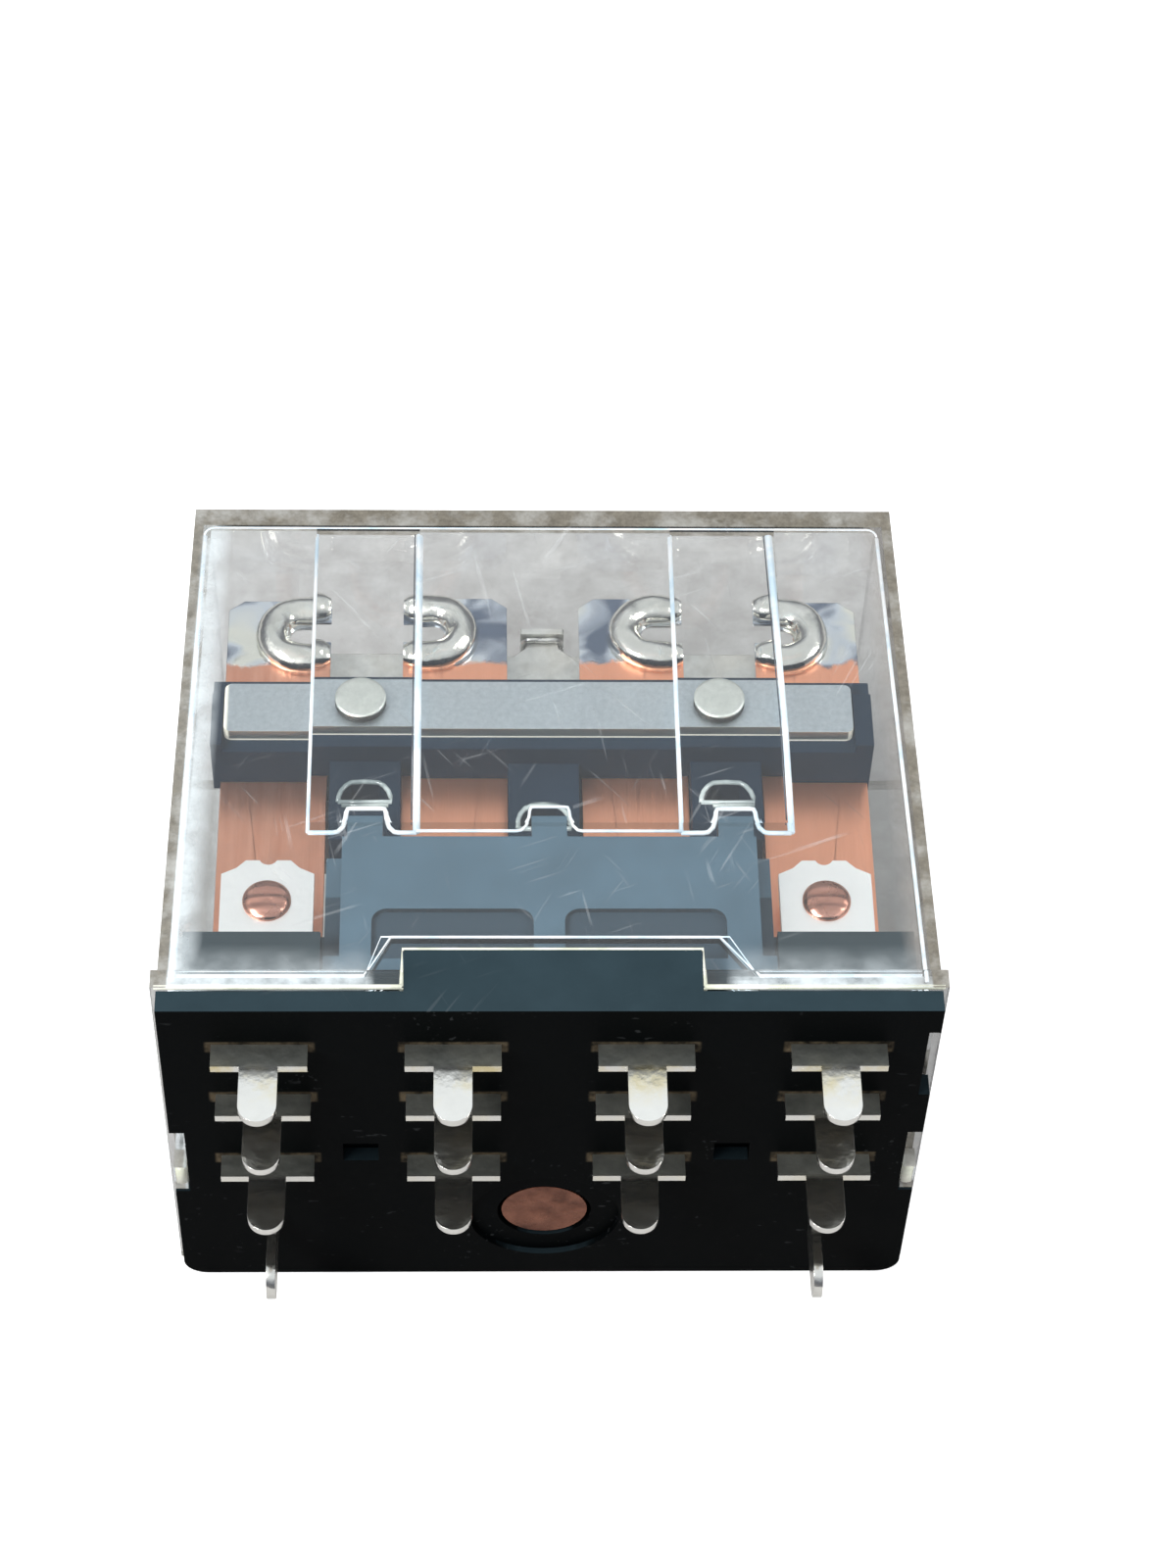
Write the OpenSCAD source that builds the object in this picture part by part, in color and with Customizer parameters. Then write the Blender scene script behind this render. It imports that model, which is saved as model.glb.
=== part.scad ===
// Four-pole plug-in control relay with a clear snap-on cover.
// X runs across the four poles, +Y from the blades to the closed end of the
// cover, and +Z from the coil side to the contact side. The origin is the
// centre of the seating face, which the blades leave towards -Y.

/* [Housing] */
// Width of the base across the poles
base_w = 40.4; // [40.2:0.1:40.6]
// Depth of the base from coil side to contact side
base_d = 26.8; // [26.8:0.1:27]
// Thickness of the base's outer flange
flange_t = 1.25; // [1.2:0.05:1.4]
// Distance from the seating face to the closed end of the cover
cover_top_y = 34.3; // [34.3:0.1:35]
// Wall thickness of the cover
cover_wall = 0.9; // [0.8:0.05:0.9]
// How far each side of the cover leans in over its height
cover_draft = 0.55; // [0.4:0.05:0.6]
// How far the cover's rim stands out
rim_proud = 0.3; // [0.2:0.05:0.4]

/* [Blades] */
// Distance between neighbouring poles
pole_pitch = 10; // [10:0.05:10.1]
// Depth position of the front row of blades
front_row_z = 10.05; // [9.9:0.05:10.2]
// Depth position of the middle row of blades
middle_row_z = 5.25; // [5.1:0.05:5.4]
// Depth position of the common row of blades
common_row_z = -0.9; // [-1:0.05:-0.8]
// Depth position of the two coil blades
coil_row_z = -7.8; // [-8:0.1:-7.6]
// Thickness of every blade
blade_t = 0.5; // [0.4:0.05:0.5]
// Width of a blade below its shoulder
blade_w = 2; // [1.8:0.1:2.2]
// Width of the two coil blades, which stand a quarter round
coil_blade_w = 2.5; // [2.3:0.1:2.6]
// Length of a blade beyond the seating face
blade_l = 4.65; // [4.4:0.05:5]
// Width of a blade's shoulder
shoulder_w = 5; // [4.8:0.1:5.2]
// Length of a blade's shoulder beyond the seating face
shoulder_l = 1.35; // [1.2:0.05:1.4]

/* [Contacts] */
// Width of a contact spring
spring_w = 5.9; // [5.7:0.1:5.9]
// Thickness of a contact spring
spring_t = 0.2; // [0.15:0.05:0.25]
// Distance from the seating face to the contact centres
contact_y = 9.9; // [9.8:0.1:10]
// Diameter of the silver contact faces
contact_dia = 2.6; // [2.4:0.1:2.6]
// Width of the fixed contact plates
plate_w = 5; // [4.8:0.1:5]

/* [Magnet] */
// Depth position of the coil's axis
core_z = -7.2; // [-7.2:0.05:-7.1]
// Diameter of the iron core
core_dia = 5.6; // [5.4:0.1:5.6]
// Outer diameter of the winding
winding_dia = 9; // [8.6:0.1:9.1]
// Distance from the seating face to the hinge edge
hinge_y = 27.4; // [27.3:0.05:27.4]

/* [Hidden] */
$fn = 48;
pole_x = [for (i = [-1.5 : 1.5]) i * pole_pitch];
coil_x = 1.5 * pole_pitch;

// Depth stations, from the contact side to the coil side.
band_z = 11.3;
pad_z = 11.75;
head_z = 10.95;
bar_front_z = 10.3;
card_front_z = 9.5;
front_plate_z = 8.4;
spring_z = 6.6;
card_mid_z = 6.1;
card_back_z = 4.3;
rear_plate_z = 3.8;
armature_t = 1.2;
hinge_z = card_back_z - armature_t;
pole_face_z = 2.4;
iron_t = 1.2;

// Height stations, from the seating face upwards.
root_l = 2;
floor_y = 3;
bobbin_y = floor_y + iron_t + 0.1;
block_y = 7.2;
side_block_y = 5.45;
plate_top_y = 12.6;
barrier_top_y = 12.2;
yoke_y = 26;
yoke_t = hinge_y - yoke_y;
card_y = 19.3;
card_top_y = 24.2;
card_x = -0.15;
card_half_w = 18.2;
bar_y = 20.1;
bar_top_y = 23.4;
bar_x = -0.35;
bar_half_w = 17.3;
armature_y = 15.6;
armature_top_y = 29.9;
armature_half_w = 12.9;
spring_y = 8.3;
spring_top_y = 32.3;
rivet_x = [-10.15, 9.55];
rivet_y = 21.7;
inner_top_y = cover_top_y - cover_wall;

// Gap between a moving contact and the fixed contact that it rests on.
rest_gap = 0.05;
moving_front_z = front_plate_z - blade_t / 2 - 0.8;
moving_back_z = 2 * spring_z - moving_front_z;

// ---- Helpers -------------------------------------------------------------

// A block between two opposite corners.
module span(low, high) translate(low) cube(high - low);

// A plate drawn in X and Y, from z_low to z_high.
module slab(z_low, z_high) translate([0, 0, z_low]) linear_extrude(z_high - z_low) children();

// A cylinder along Z from z_low to z_high.
module post_z(x, y, z_low, z_high, dia)
  translate([x, y, z_low]) cylinder(d = dia, h = z_high - z_low);

// A cylinder along Y from y_low to y_high.
module post_y(x, z, y_low, y_high, dia)
  translate([x, y_low, z]) rotate([-90, 0, 0]) cylinder(d = dia, h = y_high - y_low);

// A box whose four sides lean in by the cover's draft between y_low and y_high.
module leaning_box(half_w, half_d, y_low, y_high, lean) {
  intersection() {
    slab(-half_d, half_d) polygon([[-half_w, y_low], [half_w, y_low],
      [half_w - lean, y_high], [-half_w + lean, y_high]]);
    rotate([0, 90, 0]) slab(-half_w, half_w) polygon([[-half_d, y_low], [half_d, y_low],
      [half_d - lean, y_high], [-half_d + lean, y_high]]);
  }
}

// Rings of points swept along a path; each path entry is [point, side, up].
function ring(frame, radius, sides) =
  [for (k = [0 : sides - 1]) frame[0] + radius * (cos(360 * k / sides) * frame[1]
    + sin(360 * k / sides) * frame[2])];

module sweep(frames, radius, sides) {
  last = (len(frames) - 1) * sides;
  polyhedron(
    [for (f = frames) each ring(f, radius, sides)],
    concat(
      [[for (k = [sides - 1 : -1 : 0]) k]],
      [for (i = [0 : len(frames) - 2]) for (k = [0 : sides - 1])
        [i * sides + k, i * sides + (k + 1) % sides,
         (i + 1) * sides + (k + 1) % sides, (i + 1) * sides + k]],
      [[for (k = [0 : sides - 1]) last + k]]));
}

// ---- Blades and fixed contacts -------------------------------------------

// One flat blade, from its rounded tip to the root inside the base.
module blade_outline() {
  tip_y = blade_w / 2 - blade_l;
  translate([0, tip_y]) circle(d = blade_w);
  translate([-blade_w / 2, tip_y]) square([blade_w, -tip_y]);
  translate([-shoulder_w / 2, -shoulder_l]) square([shoulder_w, shoulder_l + root_l]);
}

// The contact end of a fixed terminal: clipped corners and a notched top.
module plate_outline() {
  clip = 0.8;
  ear = 0.5;
  half = plate_w / 2;
  difference() {
    polygon([[-half, root_l], [half, root_l], [half, plate_top_y - ear - clip / 2],
      [half - clip, plate_top_y - ear], [half - clip - 0.5, plate_top_y],
      [-half + clip + 0.5, plate_top_y], [-half + clip, plate_top_y - ear],
      [-half, plate_top_y - ear - clip / 2]]);
    translate([0, plate_top_y + 0.2]) circle(d = 1);
    translate([0, contact_y]) circle(d = contact_dia);
  }
}

// A fixed terminal: blade, a step inside the base, and the contact plate.
module fixed_terminal(x, row_z, plate_z) {
  step_t = 0.6;
  low_z = min(row_z, plate_z) - blade_t / 2;
  high_z = max(row_z, plate_z) + blade_t / 2;
  translate([x, 0, 0]) {
    slab(row_z - blade_t / 2, row_z + blade_t / 2) blade_outline();
    slab(plate_z - blade_t / 2, plate_z + blade_t / 2) plate_outline();
    span([-plate_w / 2, root_l - step_t, low_z], [plate_w / 2, root_l, high_z]);
  }
}

module nc_terminal(i) color("gainsboro") fixed_terminal(pole_x[i], front_row_z, front_plate_z);
module no_terminal(i) color("gainsboro") fixed_terminal(pole_x[i], middle_row_z, rear_plate_z);

// A common terminal. The two inner ones run sideways inside the base and
// come up beside the coil.
tag_x = [-coil_x, -11.2, 11.2, coil_x];
tag_top_y = 7;
tag_w = 2;
module com_terminal(i) color("gainsboro") {
  arm_low = min(pole_x[i], tag_x[i]) - tag_w / 2;
  arm_high = max(pole_x[i], tag_x[i]) + tag_w / 2;
  slab(common_row_z - blade_t / 2, common_row_z + blade_t / 2) {
    translate([pole_x[i], 0]) blade_outline();
    translate([arm_low, 1]) square([arm_high - arm_low, root_l - 1]);
    translate([tag_x[i] - tag_w / 2, 1]) square([tag_w, tag_top_y - 1]);
  }
}

// A coil terminal, turned a quarter round, with a post for the coil wire.
coil_post_y = 6.4;
module coil_terminal(side) color("gainsboro")
  translate([side * coil_x, 0, coil_row_z]) rotate([0, 90, 0]) {
    slab(-blade_t / 2, blade_t / 2) {
      tip_y = coil_blade_w / 2 - blade_l;
      translate([0, tip_y]) circle(d = coil_blade_w);
      translate([-coil_blade_w / 2, tip_y]) square([coil_blade_w, root_l - tip_y]);
      translate([-0.5, 0]) square([1, coil_post_y]);
    }
  }

// A contact rivet whose tail stands out behind its plate.
tail_h = 0.45;
module fixed_contact(x, plate_z, face_z) {
  back_z = plate_z + (plate_z > face_z ? 1 : -1) * (blade_t / 2 + tail_h);
  post_z(x, contact_y, min(face_z, back_z), max(face_z, back_z), contact_dia);
}

module nc_contacts() color("silver")
  for (x = pole_x) fixed_contact(x, front_plate_z, moving_front_z + rest_gap);

rear_face_z = 4.83;
module no_contacts() color("silver")
  for (x = pole_x) fixed_contact(x, rear_plate_z, rear_face_z);

// ---- Base and cover ------------------------------------------------------

tab_low_x = -7.55;
tab_high_x = 7.85;
tab_y = 3.8;
block_z = 2.7;
side_block_x = 11.9;
notch_z = [-4.4, 1.6];

module base_body() {
  half_w = base_w / 2;
  half_d = base_d / 2;
  in_w = half_w - cover_wall - 0.25;
  in_d = half_d - cover_wall - 0.25;
  corner = 1.3;
  // Flange, rounded at the two coil-side corners.
  rotate([90, 0, 0]) mirror([0, 0, 1]) linear_extrude(flange_t) {
    translate([-half_w, -half_d + corner]) square([base_w, base_d - corner]);
    translate([-half_w + corner, -half_d]) square([base_w - 2 * corner, corner]);
    for (s = [-1, 1]) translate([s * (half_w - corner), -half_d + corner]) circle(r = corner);
  }
  // Floor inside the cover.
  span([-in_w, flange_t, -in_d], [in_w, floor_y, in_d]);
  // Contact block, carrying the fixed terminals.
  span([-in_w, floor_y, block_z], [in_w, block_y, 9.2]);
  for (s = [-1, 1])
    span([min(s * in_w, s * side_block_x), floor_y, 9.2],
      [max(s * in_w, s * side_block_x), side_block_y, in_d]);
  // Low wall around the coil side.
  for (s = [-1, 1])
    span([min(s * in_w, s * (in_w - 1)), floor_y, -in_d],
      [max(s * in_w, s * (in_w - 1)), 5.5, block_z]);
  // Tab that closes the notch in the cover.
  span([tab_low_x, flange_t, in_d], [tab_high_x, tab_y, half_d]);
}

module base() color([0.07, 0.07, 0.08]) difference() {
  base_body();
  // Window over the end of the core, in a wide shallow recess.
  post_y(0, core_z, -1, floor_y + 1, 5.2);
  post_y(0, core_z, -1, 0.35, 8.3);
  // Latch notches in the two narrow sides.
  for (s = [-1, 1])
    span([min(s * (base_w / 2 - 0.8), s * base_w), -1, notch_z[0]],
      [max(s * (base_w / 2 - 0.8), s * base_w), flange_t + 1, notch_z[1]]);
  // Two small pockets beside the core.
  for (s = [-1, 1])
    span([s * pole_pitch - 0.95, -1, -1.2], [s * pole_pitch + 0.95, 0.8, 0.5]);
  // Long shallow recess in the right-hand edge of the flange.
  span([base_w / 2 - 0.6, -1, 5.4], [base_w, flange_t + 1, 11.35]);
  // Seats of the terminals.
  for (i = [0 : 3]) {
    nc_terminal(i);
    no_terminal(i);
    com_terminal(i);
  }
  for (s = [-1, 1]) coil_terminal(s);
}

band_a = [-12.8, -7.0];
band_b = [7.15, 13.05];
band_y = 12.45;
lug_y = 13.6;
lug_x = [-9.75, 0.1, 10.1];
lug_half_w = 0.95;

module cover() color([0.85, 0.87, 0.85, 0.4]) difference() {
  half_w = base_w / 2;
  half_d = base_d / 2;
  union() {
    difference() {
      union() {
        leaning_box(half_w, half_d, flange_t, cover_top_y, cover_draft);
        leaning_box(half_w + rim_proud, half_d + rim_proud, flange_t, 2.35, 0);
      }
      leaning_box(half_w - cover_wall, half_d - cover_wall, flange_t - 1, inner_top_y,
        cover_draft);
    }
    // Pad and two bands that thicken the contact-side wall.
    pad_root_z = half_d - cover_wall + 0.1;
    span([band_a[0], band_y, pad_z], [band_b[1], inner_top_y + 0.2, pad_root_z]);
    span([band_a[0], band_y, band_z], [band_a[1], inner_top_y + 0.2, pad_z]);
    span([band_b[0], band_y, band_z], [band_b[1], inner_top_y + 0.2, pad_z]);
    // Latches that reach into the coil-side ends of the base's notches.
    for (s = [-1, 1])
      span([min(s * (half_w - 0.7), s * half_w), 0.1, notch_z[0] + 0.1],
        [max(s * (half_w - 0.7), s * half_w), flange_t + 0.5, notch_z[0] + 2.3]);
  }
  // Notches over the barrier's lugs.
  for (x = lug_x)
    span([x - lug_half_w - 0.3, band_y - 1, band_z - 1],
      [x + lug_half_w + 0.3, lug_y + 0.3, pad_z + 0.2]);
  // Notch for the base's tab, with a wider step on the inside.
  span([tab_low_x, 0, half_d - cover_wall - 1], [tab_high_x, tab_y, half_d + 2]);
  slab(half_d - cover_wall - 1, half_d - 0.35) polygon([[-9.5, 0], [-9.5, 2.1],
    [-8.2, 4.75], [8.8, 4.75], [10.7, 2.1], [10.7, 0]]);
}

// Insulating front plate between the outer poles, with three lugs on top.
module contact_barrier() color([0.12, 0.14, 0.16]) {
  low_y = 4.5;
  difference() {
    union() {
      slab(10.2, 11.4) translate([-10.95, low_y]) square([22.1, barrier_top_y - low_y]);
      slab(9.2, 10.2) translate([-11.8, low_y]) square([23.7, barrier_top_y - low_y - 0.6]);
      for (x = lug_x) slab(10.2, 11.15) translate([x - lug_half_w, barrier_top_y - 0.5])
        square([2 * lug_half_w, lug_y - barrier_top_y + 0.5]);
    }
    // Two shallow recesses with rounded upper corners.
    for (x = [-9.3, 0.85]) slab(11.05, 12) {
      translate([x, low_y - 1]) square([8.5, 3.2]);
      translate([x + 0.8, low_y - 1]) square([6.9, 4]);
      for (c = [0.8, 7.7]) translate([x + c, low_y + 2.2]) circle(r = 0.8);
    }
  }
  // Foot that stands on the floor of the base.
  span([-11.8, floor_y, 9.2], [11.9, low_y, 11.4]);
}

// ---- Magnet --------------------------------------------------------------

iron_half_w = 9;
iron_back_z = -10.8;

// Top plate of the magnetic frame. Its front edge is the hinge edge, and two
// lugs reach through the armature's windows.
hinge_lug_x = 6;
module yoke() color([0.62, 0.62, 0.6]) difference() {
  union() {
    rotate([0, 90, 0]) mirror([1, 0, 0]) slab(-iron_half_w, iron_half_w)
      polygon([[iron_back_z, yoke_y], [hinge_z - 0.4, yoke_y], [hinge_z - 0.05, hinge_y],
        [iron_back_z, hinge_y]]);
    for (s = [-1, 1])
      span([s * hinge_lug_x - 1, yoke_y + 0.3, hinge_z - 1], [s * hinge_lug_x + 1, hinge_y, 4.9]);
    // Lug that holds the far end of the return spring.
    span([-1.2, hinge_y - 0.5, iron_back_z], [1.2, 31.4, iron_back_z + 0.8]);
  }
  post_y(0, core_z, yoke_y - 1, hinge_y + 1, 4.2);
  post_z(0, 30.2, iron_back_z - 1, iron_back_z + 2, 0.9);
}

// Lower iron, carrying the flux forward to the face that pulls the armature.
module pole_plate() color([0.62, 0.62, 0.6]) difference() {
  union() {
    span([-iron_half_w, floor_y, iron_back_z], [iron_half_w, floor_y + iron_t, pole_face_z]);
    span([-iron_half_w, floor_y, pole_face_z - iron_t], [iron_half_w, 18, pole_face_z]);
  }
  post_y(0, core_z, floor_y - 1, floor_y + iron_t + 1, spigot_dia);
}

// Core, with a riveted spigot at each end. The lower one shows in the base.
spigot_dia = 4.75;
module core() color([0.72, 0.45, 0.33]) {
  post_y(0, core_z, floor_y + iron_t, yoke_y, core_dia);
  post_y(0, core_z, 0.45, floor_y + iron_t, spigot_dia);
  post_y(0, core_z, yoke_y, hinge_y + 0.3, 4.2);
}

bobbin_half_w = 9;
flange_h = 1;
flange_low_z = core_z - 4.6;
flange_high_z = pole_face_z - iron_t - 0.2;
module coil_bobbin() color([0.85, 0.85, 0.8]) difference() {
  union() {
    post_y(0, core_z, bobbin_y, yoke_y - 0.05, core_dia + 1.3);
    for (y = [bobbin_y, yoke_y - 0.05 - flange_h])
      span([-bobbin_half_w, y, flange_low_z], [bobbin_half_w, y + flange_h, flange_high_z]);
  }
  post_y(0, core_z, bobbin_y - 1, yoke_y + 1, core_dia + 0.1);
}

module coil_winding() color([0.7, 0.35, 0.15]) difference() {
  post_y(0, core_z, bobbin_y + flange_h, yoke_y - 0.05 - flange_h, winding_dia);
  post_y(0, core_z, bobbin_y, yoke_y, core_dia + 1.3);
}

module coil_tape() color([0.75, 0.68, 0.35]) difference() {
  post_y(0, core_z, bobbin_y + flange_h + 0.1, yoke_y - flange_h - 0.15, winding_dia + 0.3);
  post_y(0, core_z, bobbin_y, yoke_y, winding_dia);
}

// Fine wires from the winding's flange to the coil terminals.
module coil_leads() color([0.6, 0.3, 0.15])
  for (s = [-1, 1]) translate([s * bobbin_half_w, bobbin_y + 0.6, coil_row_z])
    rotate([0, s * 90, 0]) cylinder(d = 0.35, h = coil_x - bobbin_half_w - blade_t / 2);

// Extension spring along Z, between the armature's hook and the yoke's lug.
spring_turns = 9;
spring_low_z = iron_back_z + 1.1;
spring_high_z = 2.1;
function helix_frame(t, low, high, radius, turns) =
  let (a = 360 * turns * t)
  [[radius * cos(a), 30.2 + radius * sin(a), low + (high - low) * t],
   [cos(a), sin(a), 0], [0, 0, 1]];
module return_spring() color([0.75, 0.75, 0.74])
  sweep([for (k = [0 : 12 * spring_turns])
    helix_frame(k / (12 * spring_turns), spring_low_z, spring_high_z, 0.95, spring_turns)],
    0.17, 6);

// ---- Moving armature -----------------------------------------------------

module armature() color([0.68, 0.68, 0.66]) difference() {
  union() {
    slab(hinge_z, card_back_z) {
      translate([-armature_half_w, armature_y])
        square([2 * armature_half_w, armature_top_y - armature_y]);
      // Neck that the near end of the return spring hooks on to.
      polygon([[-1.8, armature_top_y - 0.1], [1.8, armature_top_y - 0.1],
        [1, armature_top_y + 0.6], [0.8, armature_top_y + 1.5],
        [-0.8, armature_top_y + 1.5], [-1, armature_top_y + 0.6]]);
    }
    // Lip over the neck.
    span([-1.25, armature_top_y + 1.2, hinge_z], [1.25, armature_top_y + 1.6, card_back_z + 0.6]);
  }
  // Windows for the yoke's lugs.
  for (s = [-1, 1])
    span([s * hinge_lug_x - 1.25, yoke_y - 0.2, 0], [s * hinge_lug_x + 1.25, hinge_y + 0.25, 6]);
  for (x = rivet_x) post_z(x, rivet_y, 0, 6, 1.6);
}

// Moulded block that carries the springs, with a skirt between them.
skirt_x = [-9.9, -0.1, 9.95];
skirt_half_w = 1.95;
skirt_y = 14.4;
opening_y = [16.5, 15.1, 16.5];
module armature_card() color([0.09, 0.09, 0.1]) difference() {
  low_x = card_x - card_half_w;
  high_x = card_x + card_half_w;
  bar_gap = 0.08;
  union() {
    span([low_x, card_y, card_mid_z], [high_x, card_top_y, card_front_z]);
    span([low_x + 1, card_y, card_back_z], [high_x - 1, card_top_y, card_mid_z + 0.1]);
    // Ends that stand beside the clamp plate.
    span([low_x, card_y, card_front_z - 0.1],
      [bar_x - bar_half_w - bar_gap, bar_top_y - 0.5, bar_front_z - 0.15]);
    span([bar_x + bar_half_w + bar_gap, card_y, card_front_z - 0.1],
      [high_x, bar_top_y - 0.5, bar_front_z - 0.15]);
    // Skirts between neighbouring springs.
    for (x = skirt_x)
      span([x - skirt_half_w, skirt_y, 5.2], [x + skirt_half_w, card_y + 0.1, 8.1]);
  }
  // Arched opening in each skirt.
  for (k = [0 : 2]) translate([skirt_x[k], opening_y[k]]) slab(5, 9)
    polygon([[-1.45, 0], [1.45, 0], [1.3, 0.75], [0.75, 1.35], [-0.75, 1.35], [-1.3, 0.75]]);
  for (x = pole_x)
    span([x - spring_w / 2, card_y - 1, spring_z - spring_t / 2],
      [x + spring_w / 2, card_top_y + 1, spring_z + spring_t / 2]);
  for (x = rivet_x) post_z(x, rivet_y, 0, 12, 1.6);
}

module clamp_plate() color([0.66, 0.67, 0.66]) difference() {
  slab(card_front_z, bar_front_z) {
    round_r = 0.4;
    offset(r = round_r) translate([bar_x - bar_half_w + round_r, bar_y + round_r])
      square([2 * (bar_half_w - round_r), bar_top_y - bar_y - 2 * round_r]);
  }
  for (x = rivet_x) post_z(x, rivet_y, 0, 12, 1.6);
}

module card_rivets() color([0.65, 0.65, 0.63])
  for (x = rivet_x) {
    post_z(x, rivet_y, hinge_z, bar_front_z, 1.6);
    post_z(x, rivet_y, bar_front_z, head_z, 2.8);
  }

// A contact spring, with an open slot at the top where its lead is soldered.
slot_x = 1.3;
slot_y = 29.6;
slot_w = 1.4;
module contact_spring(i) color([0.8, 0.45, 0.3])
  translate([pole_x[i], 0, 0]) mirror([i % 2, 0, 0])
    slab(spring_z - spring_t / 2, spring_z + spring_t / 2) difference() {
      half = spring_w / 2;
      polygon([[-half, spring_y], [half, spring_y], [half, spring_top_y - 0.7],
        [half - 0.9, spring_top_y], [-half + 0.9, spring_top_y], [-half, spring_top_y - 0.7]]);
      translate([0, contact_y]) circle(d = 1.3);
      translate([slot_x, slot_y]) circle(d = slot_w);
      translate([slot_x, slot_y - slot_w / 2]) square([spring_w, slot_w]);
    }

module moving_contacts() color("silver")
  for (x = pole_x) {
    post_z(x, contact_y, moving_back_z, moving_front_z, 1.3);
    post_z(x, contact_y, spring_z + spring_t / 2, moving_front_z, contact_dia);
    post_z(x, contact_y, moving_back_z, spring_z - spring_t / 2, contact_dia);
  }

// Solder that wraps the slot at the top of a contact spring, as a half-round bead.
solder_r = 1.7;
bead_r = 0.95;
module bead() difference() {
  circle(r = bead_r);
  translate([-bead_r, -2 * bead_r]) square(2 * bead_r);
}
module solder_joint(i) color([0.85, 0.86, 0.82])
  translate([pole_x[i], 0, spring_z + spring_t / 2]) mirror([i % 2, 0, 0])
    translate([slot_x, slot_y, 0]) {
      rotate([0, 0, 90]) rotate_extrude(angle = 180) translate([solder_r, 0]) bead();
      for (s = [-1, 1]) translate([0, s * solder_r, 0]) rotate([90, 0, 90])
        linear_extrude(spring_w / 2 - slot_x) bead();
    }

// ---- Flexible leads ------------------------------------------------------

// A cubic curve through its two end points, and its direction.
function curve_at(p, t) = pow(1 - t, 3) * p[0] + 3 * pow(1 - t, 2) * t * p[1]
  + 3 * (1 - t) * t * t * p[2] + t * t * t * p[3];
function curve_dir(p, t) = 3 * pow(1 - t, 2) * (p[1] - p[0])
  + 6 * (1 - t) * t * (p[2] - p[1]) + 3 * t * t * (p[3] - p[2]);
function unit(v) = v / norm(v);
function curve_frame(p, t) =
  let (d = unit(curve_dir(p, t)), side = unit(cross(d, [1, 0.01, 0.02])))
  [curve_at(p, t), side, cross(d, side)];

lead_r = 0.5;
lead_top_z = spring_z - spring_t / 2 - 0.35;
lead_z = common_row_z - blade_t / 2 - lead_r;
// Each lead leaves its spring towards the coil side and comes down to its tag.
function lead_curve(i) =
  let (x = pole_x[i], tx = tag_x[i])
  [[x, 30.9, lead_top_z], [x, 31.6, 1], [tx, 33, lead_z - 0.2], [tx, 24, lead_z]];
module flex_lead(i) color([0.78, 0.55, 0.4]) {
  steps = 20;
  p = lead_curve(i);
  sweep(concat([for (k = [0 : steps]) curve_frame(p, k / steps)],
    [curve_frame([p[3], p[3] - [0, 1, 0], [tag_x[i], 5.5, lead_z], [tag_x[i], 4.5, lead_z]], 1)]),
    lead_r, 8);
}

// ---- Output --------------------------------------------------------------

base();
cover();
contact_barrier();
yoke();
pole_plate();
core();
coil_bobbin();
coil_winding();
coil_tape();
coil_leads();
return_spring();
nc_contacts();
no_contacts();
armature();
armature_card();
clamp_plate();
card_rivets();
moving_contacts();
coil_terminal(-1);  // coil_terminal_left
coil_terminal(1);  // coil_terminal_right
for (i = [0 : 3]) {
  nc_terminal(i);
  no_terminal(i);
  com_terminal(i);
  contact_spring(i);
  solder_joint(i);
  flex_lead(i);
}
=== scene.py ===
"""Looks of the plug-in control relay: clear cover, black mouldings, tinned blades and copper springs."""

import math

import bpy
from mathutils import Matrix, Vector, noise

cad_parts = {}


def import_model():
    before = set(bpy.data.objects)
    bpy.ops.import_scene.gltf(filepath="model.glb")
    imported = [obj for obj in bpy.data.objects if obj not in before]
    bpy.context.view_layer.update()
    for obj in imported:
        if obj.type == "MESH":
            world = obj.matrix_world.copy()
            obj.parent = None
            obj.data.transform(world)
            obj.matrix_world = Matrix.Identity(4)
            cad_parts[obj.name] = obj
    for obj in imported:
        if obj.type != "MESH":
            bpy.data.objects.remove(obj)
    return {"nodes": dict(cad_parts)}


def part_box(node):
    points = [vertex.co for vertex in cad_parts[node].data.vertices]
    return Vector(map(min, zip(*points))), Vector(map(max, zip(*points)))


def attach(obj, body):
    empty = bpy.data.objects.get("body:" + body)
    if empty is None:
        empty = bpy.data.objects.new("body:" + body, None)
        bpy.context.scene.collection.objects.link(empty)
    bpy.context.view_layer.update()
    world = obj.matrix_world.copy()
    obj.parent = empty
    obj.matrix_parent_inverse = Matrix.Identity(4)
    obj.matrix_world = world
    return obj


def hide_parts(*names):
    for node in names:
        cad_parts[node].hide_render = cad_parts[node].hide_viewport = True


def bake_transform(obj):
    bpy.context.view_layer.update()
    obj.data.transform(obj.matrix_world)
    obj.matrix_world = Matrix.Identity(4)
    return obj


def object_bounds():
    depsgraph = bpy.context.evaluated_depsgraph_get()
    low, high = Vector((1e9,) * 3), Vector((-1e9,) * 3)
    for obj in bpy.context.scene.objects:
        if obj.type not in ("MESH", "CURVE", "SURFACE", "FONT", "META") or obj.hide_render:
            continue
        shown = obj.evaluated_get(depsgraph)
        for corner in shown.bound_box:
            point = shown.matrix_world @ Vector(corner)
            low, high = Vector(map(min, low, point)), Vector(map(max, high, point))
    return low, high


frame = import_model()
cad_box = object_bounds()
NODES = frame["nodes"]
MM = 0.001
POLES = (-15, -5, 5, 15)
CONTACT_Y = 9.9

# ---- Material helpers -----------------------------------------------------


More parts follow.
